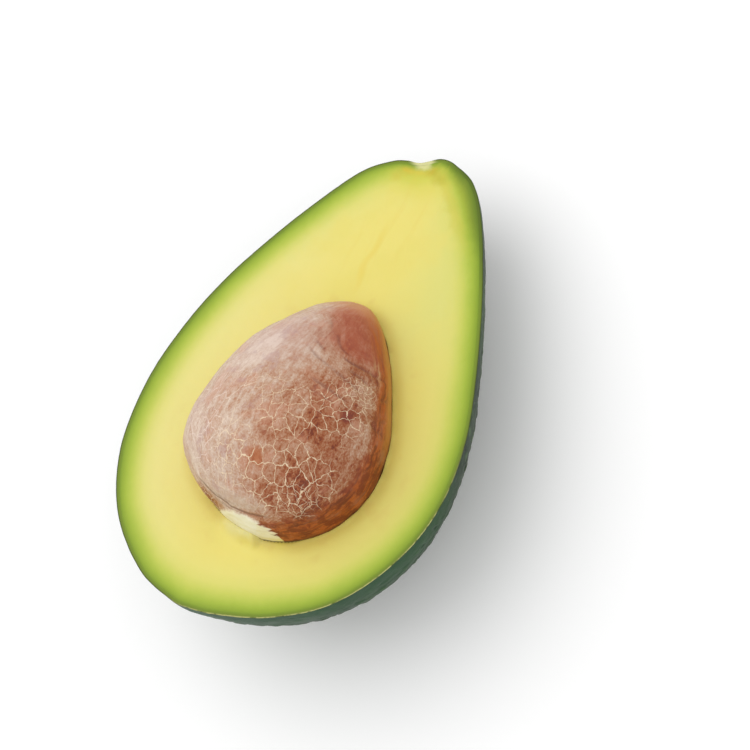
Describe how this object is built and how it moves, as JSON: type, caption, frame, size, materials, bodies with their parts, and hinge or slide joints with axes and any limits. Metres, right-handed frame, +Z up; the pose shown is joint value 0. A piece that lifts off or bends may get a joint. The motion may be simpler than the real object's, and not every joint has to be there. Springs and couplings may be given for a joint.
{
  "type": "avocado half with its seed",
  "caption": "Pear-shaped avocado cut lengthwise, lying on its rounded back, with pebbled green skin, yellow-green flesh and the round brown seed in its hollow.",
  "frame": {"origin": "middle of the small flat spot on the rounded back that the half rests on", "axes": "+Y from the blunt end to the stem end, +X across the cut, +Z up; the cut face looks up and slopes down towards the stem end"},
  "size_m": [0.0756, 0.1125, 0.0555],
  "materials": {
    "skin": "pebbled dark green rind with a soft waxy gloss",
    "flesh": "smooth buttery cut flesh, pale yellow turning green under the skin",
    "seed": "satin brown seed coat with a dusty bloom and a net of fine pale cracks"
  },
  "bodies": {
    "root": {"skin": "skin", "flesh": "flesh", "seed": "seed"}
  },
  "joints": []
}
